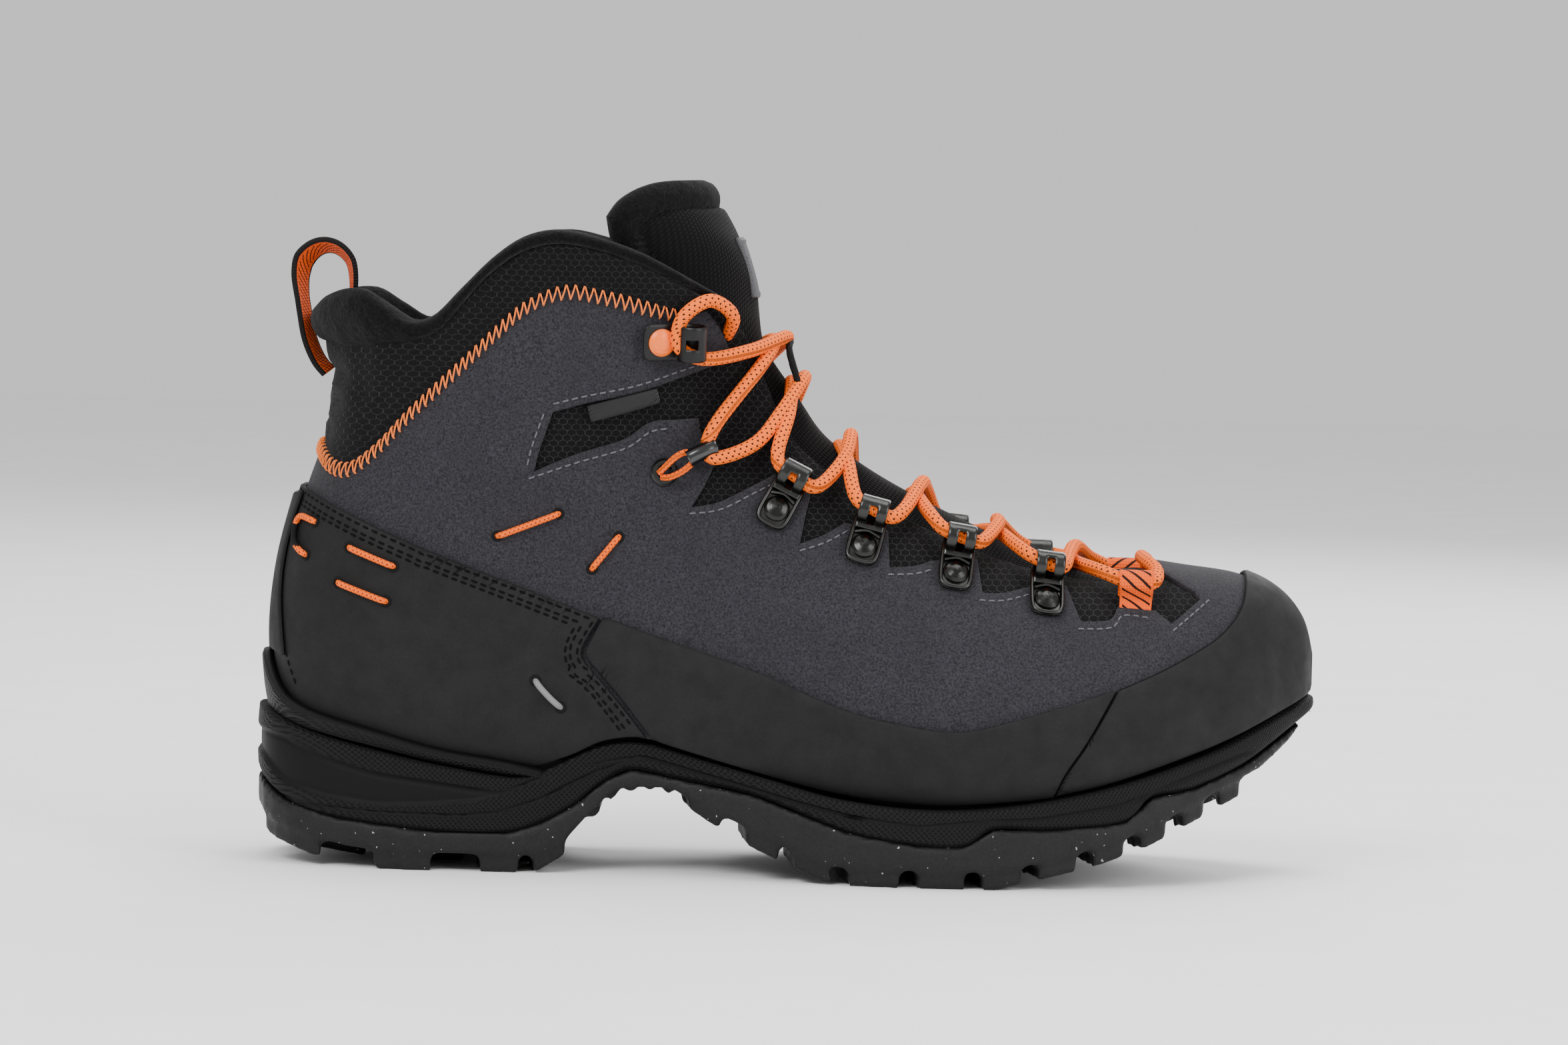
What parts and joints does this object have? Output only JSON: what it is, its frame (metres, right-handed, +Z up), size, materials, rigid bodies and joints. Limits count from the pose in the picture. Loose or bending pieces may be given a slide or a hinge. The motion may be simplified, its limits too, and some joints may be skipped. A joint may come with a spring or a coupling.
{
  "type": "hiking boot",
  "caption": "Mid-height laced hiking boot for the right foot: suede upper, rubber rand and toe cap, padded collar, metal lace hooks, lugged sole, pull loop and tilting tongue top.",
  "frame": {"origin": "on the ground under the middle of the boot's box", "axes": "+X to the toe, +Y to the inner side of the foot, +Z up"},
  "size_m": [0.305, 0.1098, 0.1972],
  "materials": {
    "aglet_plastic": "heat-shrunk tube",
    "black_tape": "flat woven cord",
    "collar_fleece": "brushed knit over foam",
    "cradle_plastic": "satin moulded plastic",
    "ferrule_plastic": "glossy",
    "fibreboard": "pressed fibre",
    "footbed_foam": "fleece-faced foam",
    "heel_rubber": "matt rubber-coated panel",
    "hook_metal": "dark satin coating",
    "label_grey": "woven patch",
    "label_rubber": "moulded rubber patch",
    "lace_cord": "round braid with dark flecks",
    "lining_fleece": "brushed fleece",
    "mesh": "coated mesh",
    "midsole_foam": "moulded matt foam with a fine grain",
    "orange_cable": "sheathed cable",
    "orange_rivet": "anodised satin",
    "orange_webbing": "woven polyester",
    "rand_rubber": "matt rubber",
    "rivet_metal": "dark satin coating",
    "shank_steel": "plain",
    "sole_rubber": "moulded matt rubber",
    "stiffener": "thermoformed sheet",
    "suede": "brushed suede"
  },
  "bodies": {
    "boot": {"outsole": "sole_rubber", "midsole": "midsole_foam", "heel_cradle": "cradle_plastic", "shank": "shank_steel", "insole_board": "fibreboard", "footbed": "footbed_foam", "suede_upper": "suede", "toe_rand": "rand_rubber", "rand_outer": "rand_rubber", "rand_inner": "rand_rubber", "heel_overlay_outer": "heel_rubber", "heel_overlay_inner": "heel_rubber", "back_strip": "heel_rubber", "heel_counter": "stiffener", "toe_puff": "stiffener", "lining_outer": "lining_fleece", "lining_inner": "lining_fleece", "mesh_underlay_outer": "mesh", "mesh_underlay_inner": "mesh", "collar": "collar_fleece", "side_label": "label_rubber", "tongue": "mesh", "lace_keeper": "black_tape", "pull_loop_anchor": "orange_webbing", "lace_hook_outer_1": "hook_metal", "lace_hook_outer_2": "hook_metal", "lace_hook_outer_3": "hook_metal", "lace_hook_outer_4": "hook_metal", "lace_hook_inner_1": "hook_metal", "lace_hook_inner_2": "hook_metal", "lace_hook_inner_3": "hook_metal", "lace_hook_inner_4": "hook_metal", "lace_hook_rivets": "rivet_metal", "top_hook_outer": "hook_metal", "top_hook_inner": "hook_metal", "top_hook_rivets": "orange_rivet", "eyelet_outer": "rivet_metal", "eyelet_inner": "rivet_metal", "cable_loop_outer": "orange_cable", "cable_loop_inner": "orange_cable", "ferrule_outer": "ferrule_plastic", "ferrule_inner": "ferrule_plastic", "heel_cable_outer": "orange_cable", "heel_cable_inner": "orange_cable", "toe_loop_outer": "orange_webbing", "toe_loop_inner": "orange_webbing", "lace": "lace_cord", "aglets": "aglet_plastic"},
    "tongue_tip": {"tongue_top": "collar_fleece", "tongue_label": "label_grey"},
    "loop": {"pull_loop": "orange_webbing"}
  },
  "joints": [
    {"name": "tongue_tilt", "type": "hinge", "parent": "boot", "child": "tongue_tip", "pos_m": [-0.0065, 0, 0.157], "axis": [0, 1, 0], "range_deg": [0, 35], "stiffness_Nm_per_rad": 0.05},
    {"name": "pull_loop_swing", "type": "hinge", "parent": "boot", "child": "loop", "pos_m": [-0.128, 0, 0.1675], "axis": [0, 1, 0], "range_deg": [-15, 40], "stiffness_Nm_per_rad": 0.005}
  ]
}
